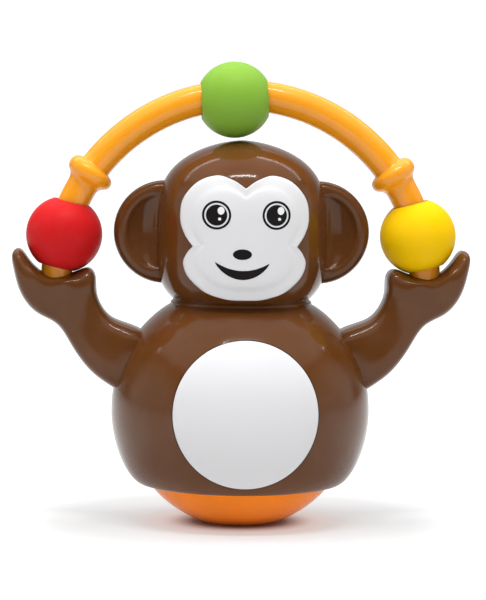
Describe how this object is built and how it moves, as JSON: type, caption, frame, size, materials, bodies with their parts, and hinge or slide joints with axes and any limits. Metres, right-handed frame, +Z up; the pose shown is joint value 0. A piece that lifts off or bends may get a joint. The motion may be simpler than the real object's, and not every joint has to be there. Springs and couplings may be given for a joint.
{
  "type": "roly-poly toy",
  "caption": "Round-bottomed moulded monkey toy that rocks upright, with a turning head and raised arms that hold an arch of sliding coloured balls.",
  "frame": {"origin": "middle of the flat foot under the dome, on the floor", "axes": "+Z up, -Y the way the face looks, +X to the right of someone who looks at the face"},
  "size_m": [0.1928, 0.1093, 0.1942],
  "materials": {
    "brown_gloss": "glossy moulded",
    "orange_gloss": "glossy moulded",
    "red_matte": "satin",
    "green_matte": "satin",
    "yellow_matte": "satin",
    "white_satin": "satin",
    "cast_iron": "as cast",
    "screw_steel": "zinc plated",
    "natural_nylon": "moulded"
  },
  "bodies": {
    "body": {"base_dome": "orange_gloss", "ballast_weight": "cast_iron", "body_front_shell": "brown_gloss", "body_rear_shell": "brown_gloss", "belly_disc": "white_satin", "left_arm": "brown_gloss", "right_arm": "brown_gloss", "arch_rod": "orange_gloss", "ballast_screw_1": "screw_steel", "ballast_screw_2": "screw_steel", "ballast_screw_3": "screw_steel", "body_screw_1": "screw_steel", "body_screw_2": "screw_steel", "body_screw_3": "screw_steel", "body_screw_4": "screw_steel"},
    "head": {"head_front_shell": "brown_gloss", "head_rear_shell": "brown_gloss", "face_plate": "white_satin", "left_ear": "brown_gloss", "right_ear": "brown_gloss", "neck_bobbin": "natural_nylon", "head_screw_1": "screw_steel", "head_screw_2": "screw_steel", "head_screw_3": "screw_steel"},
    "red_ball": {"red_ball_front": "red_matte", "red_ball_back": "red_matte"},
    "green_ball": {"green_ball_front": "green_matte", "green_ball_back": "green_matte"},
    "yellow_ball": {"yellow_ball_front": "yellow_matte", "yellow_ball_back": "yellow_matte"}
  },
  "joints": [
    {"name": "head_turn", "type": "hinge", "parent": "body", "child": "head", "pos_m": [0, 0, 0.094], "axis": [0, 0, 1], "continuous": true},
    {"name": "red_slide", "type": "hinge", "parent": "body", "child": "red_ball", "pos_m": [0, 0, 0.10234], "axis": [0, 1, 0], "range_deg": [0, 6]},
    {"name": "green_slide", "type": "hinge", "parent": "body", "child": "green_ball", "pos_m": [0, 0, 0.10234], "axis": [0, 1, 0], "range_deg": [-37.5, 43]},
    {"name": "yellow_slide", "type": "hinge", "parent": "body", "child": "yellow_ball", "pos_m": [0, 0, 0.10234], "axis": [0, -1, 0], "range_deg": [0, 6]}
  ]
}
